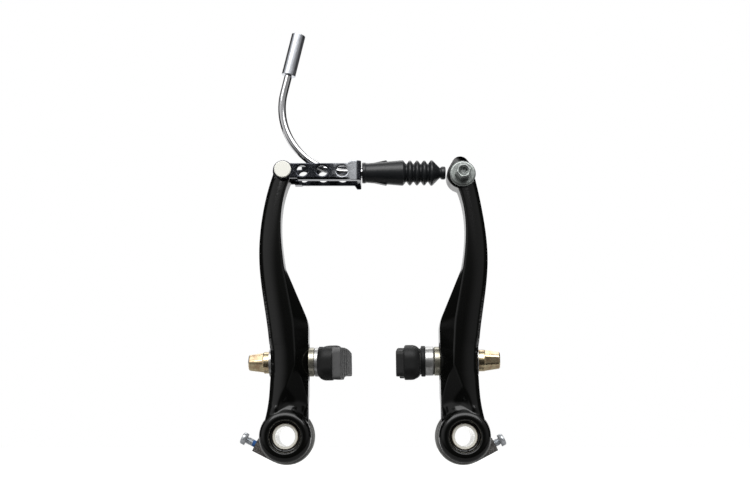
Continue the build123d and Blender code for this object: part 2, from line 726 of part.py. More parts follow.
def make_nut(side):
    seat = ball_plane(side, OUTER, PAD_YAW[side]).offset(ball_back(side, OUTER))
    waist = seat.offset(NUT_COLLAR)
    end = waist.offset(NUT_TAPER)
    with BuildPart() as nut:
        with BuildSketch(waist):
            Circle(NUT_BASE_RADIUS)
        with BuildSketch(end):
            Circle(NUT_END_RADIUS)
        loft()
        with BuildSketch(waist):
            RegularPolygon(NUT_BASE_FLATS / 2, 6, major_radius=False, rotation=NUT_TURN[side])
        with BuildSketch(end):
            RegularPolygon(NUT_END_FLATS / 2, 6, major_radius=False, rotation=NUT_TURN[side])
        loft(ruled=True, mode=Mode.INTERSECT)
        chamfer(nut.faces().sort_by(Axis(seat.origin, seat.z_dir))[-1].edges(), NUT_CHAMFER)
        with BuildSketch(seat):
            Circle(NUT_COLLAR_RADIUS)
        extrude(amount=NUT_COLLAR)
        with BuildSketch(end):
            RegularPolygon(NUT_SOCKET_FLATS / 2, 6, major_radius=False)
        extrude(amount=-NUT_SOCKET_DEPTH, mode=Mode.SUBTRACT)
        with BuildSketch(seat):
            Circle(POST_RADIUS + THREAD_FIT)
        extrude(amount=POST_IN_NUT + SIDE_PLAY, mode=Mode.SUBTRACT)
    save(nut, NAMES[side] + "_pad_nut")


# Link with its pin

PIN_AT = at_arm(LEFT, HEAD_OUTSET, HEAD_HEIGHT[LEFT], 0)
LINK_BACK = BAR_BACK - SIDE_PLAY - LINK_SHEET
LINK_FRONT = BAR_FRONT + SIDE_PLAY + LINK_SHEET
LINK_MIDDLE = (LINK_BACK + LINK_FRONT) / 2


def link_plane(depth):
    return Plane(origin=(PIN_AT.X, -depth, PIN_AT.Z), x_dir=(1, 0, 0), z_dir=(0, -1, 0))


def pipe_plane(along):
    """Plane across the cable line, its axis along +X, at a distance from the pin."""
    origin = (PIN_AT.X + along, -LINK_MIDDLE, PIN_AT.Z + CABLE_RISE)
    return Plane(origin=origin, x_dir=(0, 0, 1), z_dir=(1, 0, 0))


def plate_outline(depth, low_end, low_length):
    """Outline of a side plate, whose lower edge drops to low_end over its last stretch."""
    flare = LINK_REACH - LINK_FLARE_LENGTH
    drop = LINK_REACH - low_length
    with BuildSketch(link_plane(depth)) as outline:
        Polygon(
            (0, LINK_TOP),
            (flare - LINK_FLARE_SLOPE, LINK_TOP),
            (flare, LINK_FLARE_TOP),
            (LINK_REACH, LINK_FLARE_TOP),
            (LINK_REACH, -low_end),
            (drop, -low_end),
            (drop - LINK_FLARE_SLOPE, -LINK_BOTTOM),
            (0, -LINK_BOTTOM),
            align=None,
        )
        Circle(LINK_EYE_RADIUS)
        Circle(PIN_RADIUS + RUNNING_FIT, mode=Mode.SUBTRACT)
        for hole in range(LINK_HOLES):
            with Locations((LINK_HOLE_START + hole * LINK_HOLE_PITCH, (LINK_TOP - LINK_BOTTOM) / 2)):
                Circle(LINK_HOLE_RADIUS, mode=Mode.SUBTRACT)
    return outline.sketch


def make_link():
    with BuildPart() as link:
        extrude(plate_outline(LINK_BACK, LINK_TAB_BOTTOM, LINK_TAB_LENGTH), amount=LINK_SHEET)
        extrude(plate_outline(LINK_FRONT - LINK_SHEET, LINK_FLARE_BOTTOM, LINK_FLARE_LENGTH), amount=LINK_SHEET)
        with BuildSketch(pipe_plane(LINK_REACH)):
            with Locations(((LINK_FLARE_TOP - LINK_FLARE_BOTTOM) / 2 - CABLE_RISE, 0)):
                Rectangle(LINK_FLARE_TOP + LINK_FLARE_BOTTOM, LINK_FRONT - LINK_BACK)
        extrude(amount=-LINK_SHEET)
        holes = circles(link, LINK_HOLE_RADIUS).group_by(Axis.Y)
        chamfer(holes[0] + holes[-1], LINK_HOLE_BEVEL)
        bends = link.edges().filter_by(Axis.Z).group_by(Axis.X)[-1].sort_by(Axis.Y)
        fillet([bends[0], bends[-1]], LINK_BEND)
        with BuildSketch(pipe_plane(LINK_REACH)):
            Circle(TIP_NECK + RUNNING_FIT)
            with Locations((LINK_FLARE_TOP / 2, 0)):
                Rectangle(LINK_FLARE_TOP, LINK_KEY_WIDTH)
        extrude(amount=-LINK_SHEET, mode=Mode.SUBTRACT)
        with BuildSketch(link_plane(LINK_BACK)):
            with Locations((LUG_START + LUG_LENGTH / 2, (LUG_ROOT - LUG_DROP) / 2 - LINK_BOTTOM)):
                Rectangle(LUG_LENGTH, LUG_DROP + LUG_ROOT)
        extrude(amount=LINK_SHEET + LUG_DEPTH)
    save(link, "noodle_link")


def make_pin():
    with BuildPart() as pin:
        with BuildSketch(link_plane(LINK_BACK - SIDE_PLAY - PIN_HEAD_HEIGHT)):
            Circle(PIN_HEAD_RADIUS)
        extrude(amount=PIN_HEAD_HEIGHT)
        with BuildSketch(link_plane(LINK_BACK - SIDE_PLAY)):
            Circle(PIN_RADIUS)
        extrude(amount=LINK_FRONT - LINK_BACK + 2 * SIDE_PLAY)
        with BuildSketch(link_plane(LINK_FRONT + SIDE_PLAY)):
            Circle(PIN_HEAD_RADIUS)
        extrude(amount=PIN_HEAD_HEIGHT)
        ends = pin.edges().filter_by(GeomType.CIRCLE).group_by(Axis.Y)
        fillet(ends[0] + ends[-1], PIN_HEAD_ROUND)
    save(pin, "link_pin")


# Guide pipe with its tip, liner and ferrule

WALL_INSIDE = LINK_REACH - LINK_SHEET
PIPE_END = WALL_INSIDE - TIP_SHOULDER_LENGTH + TIP_SOCKET


def pipe_line():
    """Middle line of the pipe from the tip, round the bend and up to the ferrule."""
    with BuildLine(Plane(origin=pipe_plane(PIPE_END).origin, x_dir=(1, 0, 0), z_dir=(0, -1, 0))) as line:
        tail = Line((0, 0), (-PIPE_TAIL - TIP_SOCKET, 0))
        bend = JernArc(tail @ 1, (-1, 0), PIPE_BEND, PIPE_TILT - 180 + 90 - 2 * PIPE_TILT)
        Line(bend @ 1, (bend @ 1) + (bend % 1) * (PIPE_TOP + FERRULE_GRIP))
    return line


def make_tube(name, radius, bore):
    line = pipe_line()
    with BuildPart() as tube:
        with BuildSketch(Plane(origin=line.wire() @ 0, x_dir=(0, 1, 0), z_dir=line.wire() % 0)):
            Circle(radius)
            Circle(bore, mode=Mode.SUBTRACT)
        sweep(path=line.wire())
    save(tube, name)


def make_tip():
    inside = pipe_plane(WALL_INSIDE)
    with BuildPart() as tip:
        with BuildSketch(inside):
            Circle(TIP_SHOULDER)
        extrude(amount=-TIP_SHOULDER_LENGTH)
        with BuildSketch(inside):
            Circle(TIP_NECK)
        extrude(amount=LINK_SHEET + TIP_NOSE)
        with BuildSketch(inside.offset(-TIP_SHOULDER_LENGTH)):
            Circle(PIPE_RADIUS + THREAD_FIT)
        extrude(amount=TIP_SOCKET, mode=Mode.SUBTRACT)
        with BuildSketch(inside.offset(-TIP_SHOULDER_LENGTH)):
            Circle(TIP_BORE)
        extrude(amount=TIP_SHOULDER_LENGTH + LINK_SHEET + TIP_NOSE, mode=Mode.SUBTRACT)
    save(tip, "noodle_tip")


def make_ferrule():
    wire = pipe_line().wire()
    seat = Plane(origin=(wire @ 1) - (wire % 1) * FERRULE_GRIP, x_dir=(0, 1, 0), z_dir=wire % 1)
    with BuildPart() as ferrule:
        with BuildSketch(seat):
            Circle(FERRULE_RADIUS)
        extrude(amount=FERRULE_LENGTH)
        fillet(ferrule.edges(), FERRULE_ROUND)
        with BuildSketch(seat):
            Circle(PIPE_RADIUS + THREAD_FIT)
        extrude(amount=FERRULE_GRIP, mode=Mode.SUBTRACT)
        with BuildSketch(seat.offset(FERRULE_GRIP)):
            Circle(FERRULE_BORE)
        extrude(amount=FERRULE_LENGTH, mode=Mode.SUBTRACT)
    save(ferrule, "noodle_ferrule")


def make_boot():
    start = pipe_plane(LINK_REACH + BOOT_GAP)
    head = at_arm(RIGHT, HEAD_OUTSET - ANCHOR_BOSS_IN, ANCHOR_HEIGHT, 0).X - ANCHOR_BOSS_RADIUS
    end = head - BOOT_TIP_GAP - start.origin.X
    cone_end = end - BOOT_BEAD_LENGTH
    last_crest = cone_end - BOOT_CONE_LENGTH
    first_valley = last_crest - (BOOT_FOLDS - 0.5) * BOOT_FOLD_PITCH
    body_end = first_valley - BOOT_SHOULDER
    with BuildPart() as boot:
        with BuildSketch(section(start)):
            folds = []
            for fold in range(BOOT_FOLDS):
                valley = first_valley + fold * BOOT_FOLD_PITCH
                folds.append((BOOT_VALLEY_RADIUS, valley))
                folds.append((BOOT_CREST_RADIUS, valley + BOOT_FOLD_PITCH / 2))
            outside = [
                (BOOT_FLANGE_RADIUS, 0),
                (BOOT_FLANGE_RADIUS, BOOT_FLANGE_LENGTH),
                (BOOT_NECK_RADIUS, BOOT_FLANGE_LENGTH),
                (BOOT_BODY_RADIUS, body_end),
            ]
            tail = [
                (BOOT_CONE_END_RADIUS, cone_end),
                (BOOT_BEAD_RADIUS, cone_end),
                (BOOT_BEAD_RADIUS, end),
                (BOOT_MOUTH_RADIUS, end),
            ]
            inside = [
                (BOOT_MOUTH_RADIUS, cone_end),
                (BOOT_CAVITY_RADIUS, last_crest),
                (BOOT_CAVITY_RADIUS, TIP_NOSE + BOOT_GAP),
                (TIP_NECK + THREAD_FIT, TIP_NOSE + BOOT_GAP),
                (TIP_NECK + THREAD_FIT, 0),
            ]
            with BuildLine():
                Polyline(*outside, *folds, *tail, *inside, close=True)
            make_face()
        turn(start)
        fillet(circles(boot, BOOT_CREST_RADIUS) + circles(boot, BOOT_BODY_RADIUS), BOOT_CREST_ROUND)
        fillet(circles(boot, BOOT_VALLEY_RADIUS), BOOT_VALLEY_ROUND)
        fillet(circles(boot, BOOT_FLANGE_RADIUS), BOOT_FLANGE_ROUND)
        fillet(circles(boot, BOOT_BEAD_RADIUS), BOOT_BEAD_ROUND)

        # A lug above and below, rising along the body
        swell = (BOOT_BODY_RADIUS - BOOT_NECK_RADIUS) / (body_end - BOOT_FLANGE_LENGTH)
        lug_end = BOOT_LUG_START + BOOT_LUG_LENGTH
        lug_top = BOOT_NECK_RADIUS + swell * (lug_end - BOOT_FLANGE_LENGTH) + BOOT_LUG_RISE
        with BuildSketch(Plane(origin=start.origin, x_dir=start.z_dir, z_dir=FORWARD)):
            for up in (1, -1):
                Polygon(
                    (BOOT_LUG_START, up * BOOT_NECK_RADIUS),
                    (lug_end, up * BOOT_NECK_RADIUS),
                    (lug_end, up * lug_top),
                    align=None,
                )
        extrude(amount=BOOT_LUG_WIDTH / 2, both=True)
    save(boot, "cable_boot")


# Cable anchor

def anchor_plane(depth):
    plane = arm_plane(RIGHT, depth)
    return Plane(origin=at_arm(RIGHT, HEAD_OUTSET, HEAD_HEIGHT[RIGHT], depth), x_dir=plane.x_dir, z_dir=FORWARD)


def make_anchor():
    seat = anchor_plane(BAR_FRONT)
    with BuildPart() as washer:
        with BuildSketch(seat):
            Circle(ANCHOR_WASHER_RADIUS)
            Circle(ANCHOR_THREAD_RADIUS + RUNNING_FIT, mode=Mode.SUBTRACT)
        extrude(amount=ANCHOR_WASHER_HEIGHT)
        rim = washer.edges().filter_by(GeomType.CIRCLE).group_by(Axis.Y)[0].sort_by(SortBy.RADIUS)[-1]
        chamfer(rim, ANCHOR_WASHER_DISH)
        with BuildSketch(Plane(origin=seat.origin, x_dir=FORWARD, z_dir=seat.x_dir)):
            Circle(CABLE_GROOVE_RADIUS)
        extrude(amount=ANCHOR_WASHER_RADIUS, both=True, mode=Mode.SUBTRACT)
    save(washer, "anchor_washer")

    under_head = anchor_plane(BAR_FRONT + ANCHOR_WASHER_HEIGHT)
    head_top = under_head.offset(ANCHOR_HEAD_HEIGHT)
    with BuildPart() as bolt:
        with BuildSketch(under_head):
            RegularPolygon(ANCHOR_HEAD_FLATS / 2, 6, major_radius=False, rotation=ANCHOR_HEAD_TURN)
        extrude(amount=ANCHOR_HEAD_HEIGHT)
        chamfer(bolt.faces().sort_by(Axis.Y)[0].edges(), ANCHOR_HEAD_CHAMFER)
        with BuildSketch(head_top):
            RegularPolygon(ANCHOR_SOCKET_FLATS / 2, 6, major_radius=False, rotation=ANCHOR_HEAD_TURN)
        extrude(amount=-ANCHOR_SOCKET_DEPTH, mode=Mode.SUBTRACT)
        with BuildSketch(head_top):
            Circle(ANCHOR_SOCKET_MOUTH)
        with BuildSketch(head_top.offset(-ANCHOR_SOCKET_BEVEL)):
            Circle(ANCHOR_SOCKET_FLATS / 2)
        loft(mode=Mode.SUBTRACT)
        with BuildSketch(under_head):
            Circle(ANCHOR_THREAD_RADIUS)
        extrude(amount=-(ANCHOR_WASHER_HEIGHT + BAR_FRONT - BAR_BACK))
    save(bolt, "anchor_bolt")


os.makedirs("parts", exist_ok=True)
for side in (LEFT, RIGHT):
    make_arm(side)
    make_bushing(side)
    make_housing(side)
    make_spring(side)
    make_tension_screw(side)
    make_pad(side)
    make_post(side)
    make_washers(side, INNER, "inner")
    make_washers(side, OUTER, "outer")
    make_nut(side)
make_link()
make_pin()
make_tube("noodle_pipe", PIPE_RADIUS, PIPE_BORE)
make_tube("noodle_liner", LINER_RADIUS, LINER_BORE)
make_tip()
make_ferrule()
make_boot()
make_anchor()
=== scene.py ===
# %% [markdown]
# # A linear-pull bicycle brake, dressed in Blender
# The solids of the brake come from its CAD source and already have their true places and sizes in metres.
# Here they are loaded as a fixed frame, and each one gets its finish. Some pieces are remade on top of
# the frame, where a finer surface shows: forgings, mouldings and pressed steel get soft edges, and the
# screws and studs get their threads.

# %% Load the frame
import json
from math import pi, radians, sqrt

import bmesh
import bpy
from mathutils import Euler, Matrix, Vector


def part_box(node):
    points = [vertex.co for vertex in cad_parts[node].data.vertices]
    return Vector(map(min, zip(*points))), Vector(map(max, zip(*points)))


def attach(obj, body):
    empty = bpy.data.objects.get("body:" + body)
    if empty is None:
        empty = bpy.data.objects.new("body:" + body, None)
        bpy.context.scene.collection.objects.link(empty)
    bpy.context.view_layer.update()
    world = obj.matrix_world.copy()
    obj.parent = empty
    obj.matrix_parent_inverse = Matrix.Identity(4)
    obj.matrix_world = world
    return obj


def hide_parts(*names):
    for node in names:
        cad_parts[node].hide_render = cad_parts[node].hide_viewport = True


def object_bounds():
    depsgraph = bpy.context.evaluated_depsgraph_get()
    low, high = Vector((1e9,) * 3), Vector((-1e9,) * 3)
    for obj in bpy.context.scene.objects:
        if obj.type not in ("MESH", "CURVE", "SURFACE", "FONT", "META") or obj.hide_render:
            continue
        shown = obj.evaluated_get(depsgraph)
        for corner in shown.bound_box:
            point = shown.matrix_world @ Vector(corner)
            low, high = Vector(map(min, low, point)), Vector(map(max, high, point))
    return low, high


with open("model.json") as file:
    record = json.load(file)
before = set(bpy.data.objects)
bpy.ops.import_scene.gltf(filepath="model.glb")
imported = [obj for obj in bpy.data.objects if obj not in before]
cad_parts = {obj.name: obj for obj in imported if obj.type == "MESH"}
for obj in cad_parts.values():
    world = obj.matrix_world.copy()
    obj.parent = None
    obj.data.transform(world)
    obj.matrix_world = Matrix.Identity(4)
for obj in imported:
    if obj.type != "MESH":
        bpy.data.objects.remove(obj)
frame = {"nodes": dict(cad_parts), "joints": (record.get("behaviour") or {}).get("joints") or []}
cad_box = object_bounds()
nodes = frame["nodes"]
joints = {joint["name"]: joint for joint in frame["joints"]}
MM = 0.001
SIDES = {"left": -1, "right": 1}
PIVOT_HALF = joints["right_arm_swing"]["pos_m"][0]

# %% [markdown]
# ## Camera
# The photograph was taken from in front of the pivots, level with them and tilted up a little, so the
# pivot bores are seen straight on and the tops of the arms lean back. Lens and distance were worked out
# from where the two pivots, the link and the pads lie in the photograph and in the frame.

# %% Camera
CAMERA_DISTANCE = 0.470
CAMERA_PITCH = 9.5
SENSOR_WIDTH = 36.0
FOCAL_LENGTH = 53.5
lens = bpy.data.cameras.new("photo_camera")
lens.sensor_width = SENSOR_WIDTH
lens.lens = FOCAL_LENGTH
camera = bpy.data.objects.new("photo_camera", lens)
camera.location = (0.0, -CAMERA_DISTANCE, 0.0)
camera.rotation_euler = (radians(90 + CAMERA_PITCH), 0.0, 0.0)
bpy.context.scene.collection.objects.link(camera)
bpy.context.scene.camera = camera
print("camera", tuple(camera.location), "lens", lens.lens)

# %% [markdown]
# ## Writing node graphs as sums
# A material is a graph of nodes, and long graphs are hard to read as code. This small class holds one
# output socket, and ordinary arithmetic on it adds Math nodes. `node` makes every other kind of node: its
# settings are set first, and then its sockets get values or links. The same class writes the geometry
# graph further down.

# %% A socket that does sums
class Wire:
    def __init__(self, tree, socket=None):
        self.tree = tree
        self.socket = socket

    def node(self, kind, settings=None, sockets=None, out=0):
        made = self.tree.nodes.new(kind)
        for key, value in (settings or {}).items():
            setattr(made, key, value)
        for key, value in (sockets or {}).items():
            if isinstance(value, Wire):
                self.tree.links.new(value.socket, made.inputs[key])
            else:
                made.inputs[key].default_value = value
        return Wire(self.tree, made.outputs[out] if made.outputs else None)

    def outputs(self):
        """Every output of the node that this socket belongs to."""
        return [Wire(self.tree, socket) for socket in self.socket.node.outputs]

    def math(self, operation, *values):
        return self.node("ShaderNodeMath", {"operation": operation}, dict(enumerate(values)))

    def __add__(self, other):
        return self.math("ADD", self, other)

    def __radd__(self, other):
        return self.math("ADD", other, self)

    def __sub__(self, other):
        return self.math("SUBTRACT", self, other)

    def __rsub__(self, other):
        return self.math("SUBTRACT", other, self)

    def __mul__(self, other):
        return self.math("MULTIPLY", self, other)

    def __truediv__(self, other):
        return self.math("DIVIDE", self, other)

    def rise(self, low, high):
        """0 below low, 1 above high, with a soft step between."""
        settings = {"interpolation_type": "SMOOTHSTEP"}
        return self.node("ShaderNodeMapRange", settings, {"Value": self, "From Min": low, "From Max": high})

    def blend(self, first, second):
        """Colour first where this is 0, second where it is 1."""
        sockets = {"Factor": self, 6: first, 7: second}
        return self.node("ShaderNodeMix", {"data_type": "RGBA"}, sockets, out=2)


print("sums on sockets ready")

# %% [markdown]
# ## Helpers for finishes
# Every finish starts from the object coordinates, in metres, so that a grain of 0.3 mm is written as 0.3
# mm. It ends in one Principled shader. `noise` makes soft variation of a given size, `bump` turns a
# height into a normal, and `away` measures the distance from an axis, which is how turned rings and rims
# are found.

# %% Helpers
def rgb(red, green, blue):
    return (red, green, blue, 1.0)


def new_finish(name):
    """An empty material and the Wire of its object coordinates."""
    material = bpy.data.materials.new(name)
    material.use_nodes = True
    material.node_tree.nodes.clear()
    place = Wire(material.node_tree).node("ShaderNodeTexCoord", out=3)
    return material, place


def close_finish(material, place, **sockets):
    """Ends a material in one Principled shader."""
    named = {key.replace("_", " "): value for key, value in sockets.items()}
    shader = place.node("ShaderNodeBsdfPrincipled", None, named)
    place.node("ShaderNodeOutputMaterial", None, {"Surface": shader})
    return material


def noise(place, size, detail=3.0, roughness=0.5):
    """Soft noise with features of about this size in metres."""
    sockets = {"Vector": place, "Scale": 1.0 / size, "Detail": detail, "Roughness": roughness}
    return place.node("ShaderNodeTexNoise", None, sockets)


def bump(place, height, depth):
    """A normal from a height between 0 and 1, depth in metres at 1."""
    return place.node("ShaderNodeBump", None, {"Height": height, "Distance": depth, "Strength": 1.0})


def axes(place):
    return place.node("ShaderNodeSeparateXYZ", None, {0: place}).outputs()


def length_of(first, second):
    return first.math("SQRT", first * first + second * second)


def away(place, line, centre):
    """Distance from a line through centre that runs along x or along y."""
    x, y, z = axes(place)
    if line == "x":
        return length_of(y - centre.y, z - centre.z)
    return length_of(x - centre.x, z - centre.z)


def along(place, direction):
    """How far a point lies in a direction."""
    settings = {"operation": "DOT_PRODUCT"}
    return place.node("ShaderNodeVectorMath", settings, {0: place, 1: direction}, out=1)


def middle(node):
    low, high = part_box(node)
    return (low + high) / 2


def wear(node, material):
    """Gives a CAD node its finish."""
    slots = nodes[node].data.materials
    slots.clear()
    slots.append(material)


print("finish helpers ready")

# %% [markdown]
# ## Satin black on the forgings
# The arms are forged aluminium with a satin black coat. It is almost black when seen straight on, and the
# soft lamp shows only on rounded edges. A fine orange-peel bump breaks the reflection up, and broad noise
# in the roughness keeps large flat faces from looking printed.

# %% Arm finish
def satin_black():
    material, place = new_finish("arm_satin_black")
    peel = noise(place, 0.45 * MM, 2.0)
    waves = noise(place, 9 * MM, 2.0)
    dust = noise(place, 1.6 * MM, 4.0, 0.65).rise(0.60, 0.80)
    return close_finish(
        material, place,
        Base_Color=dust.blend(rgb(0.0024, 0.0025, 0.0022), rgb(0.0040, 0.0041, 0.0038)),
        Roughness=0.12 + waves * 0.03 + peel * 0.03,
        Specular_IOR_Level=0.42,
        Normal=bump(place, peel * 0.7 + waves * 0.3, 0.004 * MM),
    )


ARM_FINISH = satin_black()
print("made", ARM_FINISH.name)

# %% [markdown]
# ## Plated metals
# Bright plate, nickel and yellow zinc differ in colour and in the marks of their making. Plating drifts
# in colour: yellow zinc goes from pale gold to brown, so each metal blends two colours by soft noise.
# Turned pieces carry fine rings round their axis, made from a sine of the distance from that axis. A dull
# plate scatters part of the light, so the washers and the anchor are a little less than fully metallic.

# %% Metal finishes
def plated(name, tint, shade, rough, patch=3.0, relief=0.004, rings=None, metal=1.0):
    """Plated metal whose colour drifts from tint to shade. Patch and relief are in mm."""
    material, place = new_finish(name)
    drift = noise(place, patch * MM, 3.0).rise(0.35, 0.7)
    fine = noise(place, 0.22 * MM, 2.0)
    height = fine
    if rings:
        line, centre, period = rings
        reach = away(place, line, centre)
        height = fine * 0.5 + reach.math("SINE", reach * (2 * pi / (period * MM))) * 0.5
    return close_finish(
        material, place,
        Base_Color=drift.blend(rgb(*tint), rgb(*shade)),
        Metallic=metal,
        Roughness=rough + fine * 0.08,
        Normal=bump(place, height, relief * MM),
    )


PIPE_PLATE = plated(
    "pipe_bright_plate", (0.80, 0.80, 0.81), (0.70, 0.70, 0.72), rough=0.06, patch=8.0, relief=0.0005,
)
FERRULE_SATIN = plated(
    "ferrule_satin_plate", (0.64, 0.66, 0.70), (0.57, 0.59, 0.63), rough=0.24, patch=6.0, relief=0.002,
)
SPRING_WIRE = plated("spring_wire", (0.40, 0.40, 0.41), (0.30, 0.30, 0.31), rough=0.30)
STUD_STEEL = plated("stud_steel", (0.50, 0.50, 0.49), (0.38, 0.38, 0.38), rough=0.30)
ANCHOR_PLATE = plated(
    "anchor_grey_zinc", (0.42, 0.45, 0.43), (0.32, 0.34, 0.33), rough=0.26, patch=2.2,
    rings=("y", middle("anchor_washer"), 0.24), relief=0.006, metal=0.75,
)
wear("noodle_pipe", PIPE_PLATE)
wear("noodle_tip", PIPE_PLATE)
wear("noodle_ferrule", FERRULE_SATIN)
ZINC, CUP_ZINC, NICKEL = {}, {}, {}
for side in SIDES:
    turned = ("x", middle(side + "_pad_post"), 0.30)
    ZINC[side] = plated(
        side + "_yellow_zinc", (0.80, 0.68, 0.44), (0.60, 0.43, 0.27), rough=0.20,
        patch=2.2, rings=turned,
    )
    NICKEL[side] = plated(
        side + "_washer_nickel", (0.62, 0.62, 0.61), (0.48, 0.48, 0.47), rough=0.26,
        rings=turned, metal=0.75,
    )
    CUP_ZINC[side] = plated(
        side + "_olive_zinc", (0.52, 0.50, 0.42), (0.36, 0.34, 0.27), rough=0.24,
        rings=turned, metal=0.85,
    )
    wear(side + "_return_spring", SPRING_WIRE)
    wear(side + "_outer_cup_washer", CUP_ZINC[side])
    wear(side + "_outer_ball_washer", NICKEL[side])
print("metals ready")

# %% [markdown]
# ## Pivot bushings
# The bushings are a pale, creamy brass that looks almost white in soft light, so the finish is only
# partly metallic. The bore is painted nearly white and kept smoother, a painted glare of the light that
# falls into it. The end face keeps its turning rings, and the outer bevel is stained brown. Distance
# from the axis tells the three apart.

# %% Bushing finish
BUSHING_FACE = (4.15 * MM, 4.25 * MM)
BUSHING_BEVEL = (4.95 * MM, 5.10 * MM)
TURNING_PITCH = 0.22 * MM


def bushing_brass(side):
    material, place = new_finish(side + "_bushing_brass")
    reach = away(place, "y", middle(side + "_pivot_bushing"))
    face = reach.rise(*BUSHING_FACE)
    stain = reach.rise(*BUSHING_BEVEL)
    ring = reach.math("SINE", reach * (2 * pi / TURNING_PITCH))
    tone = noise(place, 1.8 * MM)
    # Painted glare: the bore is coloured nearly white.
    bright = tone.blend(rgb(0.94, 0.93, 0.87), rgb(0.91, 0.89, 0.82))
    worn = stain.blend(rgb(0.93, 0.90, 0.80), rgb(0.36, 0.27, 0.17))
    return close_finish(
        material, place,
        Base_Color=face.blend(bright, worn),
        Metallic=0.25,
        Roughness=0.12 + face * 0.16 + tone * 0.05,
        Normal=bump(place, ring * face, 0.004 * MM),
    )


for side in SIDES:
    wear(side + "_pivot_bushing", bushing_brass(side))
print("bushings done")

# %% [markdown]
# ## Link and pin
# The link is pressed from sheet steel with a dark, speckled coat. On the front plate the coat turns pale
# and less metallic towards the free end: a painted reflection of the lamp. The upper and lower edges get
# it only close to that end, and the end itself keeps its coat. The distance from the pin drives the
# painted reflection. The pin's head is a flat cream disc, bright even where it faces the dark part of the
# room; it is drawn as a smooth cream finish, not as bare metal.

# %% Link and pin finishes
LINK_FRONT = -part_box("noodle_link")[0].y
LINK_REACH = 32.0 * MM
FRONT_SKIN = (LINK_FRONT - 0.5 * MM, LINK_FRONT - 0.2 * MM)
REFLECTION_MIDDLE = -0.3 * MM
REFLECTION_HALF = (2.7 * MM, 3.0 * MM)
REFLECTION_START = (0.58, 0.94)
REFLECTION_END = (0.935, 0.965)
EDGE_REFLECTION_START = (0.80, 0.88)


def link_steel():
    material, place = new_finish("link_steel_painted_reflection")
    x, y, z = axes(place)
    pin = middle("link_pin")
    run = (x - pin.x) / LINK_REACH
    height = z - (pin.z + REFLECTION_MIDDLE)
    front = (0.0 - y).rise(*FRONT_SKIN)
    speck = noise(place, 0.42 * MM, 2.0, 0.7).rise(0.50, 0.64)
    ragged = run + (noise(place, 3.0 * MM) - 0.5) * 0.4
    # Painted reflection: the front plate turns pale and less metallic towards the free end, its edges only
    # near that end.
    painted_reflection = ragged.rise(*REFLECTION_START) * (1.0 - run.rise(*REFLECTION_END))
    edge = height.math("ABSOLUTE", height).rise(*REFLECTION_HALF)
    painted_reflection = painted_reflection * front * (1.0 - edge * (1.0 - run.rise(*EDGE_REFLECTION_START)))
    dark = speck.blend(rgb(0.035, 0.037, 0.045), rgb(0.12, 0.125, 0.145))
    reflection_colour = speck.blend(rgb(0.58, 0.60, 0.64), rgb(0.70, 0.72, 0.74))
    return close_finish(
        material, place,
        Base_Color=painted_reflection.blend(dark, reflection_colour),
        Metallic=1.0 - painted_reflection * 0.45,
        Roughness=0.16 + speck * 0.08,
        Normal=bump(place, speck, 0.003 * MM),
    )


def cream_disc_finish():
    material, place = new_finish("pin_cream_disc")
    fine = noise(place, 0.4 * MM, 2.0)
    return close_finish(
        material, place,
        Base_Color=noise(place, 2 * MM).blend(rgb(0.98, 0.975, 0.90), rgb(0.95, 0.94, 0.86)),
        Roughness=0.30 + fine * 0.08,
        Normal=bump(place, fine, 0.0008 * MM),
    )


LINK_FINISH = link_steel()
wear("link_pin", cream_disc_finish())
print("link and pin done")

# %% [markdown]
# ## Rubber and plastic
# Pads and boot are moulded rubber: very dark, a little glossy on the boot and dull on the pads, with a
# fine sandy grain. The friction layer of a pad, the last few millimetres before the rim, is paler than
# the layer that holds the stud. On the left pad it is much paler still, a painted light from the left.
# The pipe's liner is natural nylon.

# %% Rubber finishes
END_ZONE = 0.6 * MM


def moulded(name, colour, pale, rough, grain_size, grain_depth):
    """Rubber or plastic with a pale bloom in places. The grain's size and depth are in mm."""
    material, place = new_finish(name)
    grain = noise(place, grain_size * MM, 3.0)
    bloom = noise(place, 5 * MM, 3.0).rise(0.45, 0.8)
    return close_finish(
        material, place,
        Base_Color=bloom.blend(rgb(*colour), rgb(*pale)),
        Roughness=rough + grain * 0.12,
        Normal=bump(place, grain, grain_depth * MM),
    )


def bar_ends(node):
    """Middles of the two ends of a round bar that lies nearly along x."""
    points = [v.co for v in nodes[node].data.vertices]
    ends = []
    for edge in (min(p.x for p in points), max(p.x for p in points)):
        ring = [p for p in points if abs(p.x - edge) < END_ZONE]
        ends.append(sum(ring, Vector()) / len(ring))
    return ends


FRICTION_LAYER = 3.2 * MM
LAYER_BLUR = 0.1 * MM
# Friction layer colours: the right pad keeps the rubber's own slightly paler tone, while the left pad is far
# paler, a painted light from the left.
FRICTION_TONE_AND_LEFT_LIGHT = {
    "left": (rgb(0.075, 0.075, 0.075), rgb(0.130, 0.130, 0.131)),
    "right": (rgb(0.012, 0.012, 0.012), rgb(0.024, 0.024, 0.024)),
}


def pad_rubber(side):
    material, place = new_finish(side + "_pad_rubber")
    first, second = bar_ends(side + "_pad_post")
    inward = (second - first).normalized() * -SIDES[side]
    face = max(v.co.dot(inward) for v in nodes[side + "_brake_pad"].data.vertices)
    seam = face - FRICTION_LAYER
    layer = along(place, inward).rise(seam - LAYER_BLUR, seam + LAYER_BLUR)
    grain = noise(place, 0.30 * MM, 3.0)
    bloom = noise(place, 5 * MM, 3.0).rise(0.45, 0.8)
    back = bloom.blend(rgb(0.0075, 0.0078, 0.0078), rgb(0.0115, 0.012, 0.012))
    friction_tone_and_light = grain.blend(*FRICTION_TONE_AND_LEFT_LIGHT[side])
    return close_finish(
        material, place,
        Base_Color=layer.blend(back, friction_tone_and_light),
        Roughness=0.46 + grain * 0.14,
        Specular_IOR_Level=0.3,
        Normal=bump(place, grain, 0.018 * MM),
    )


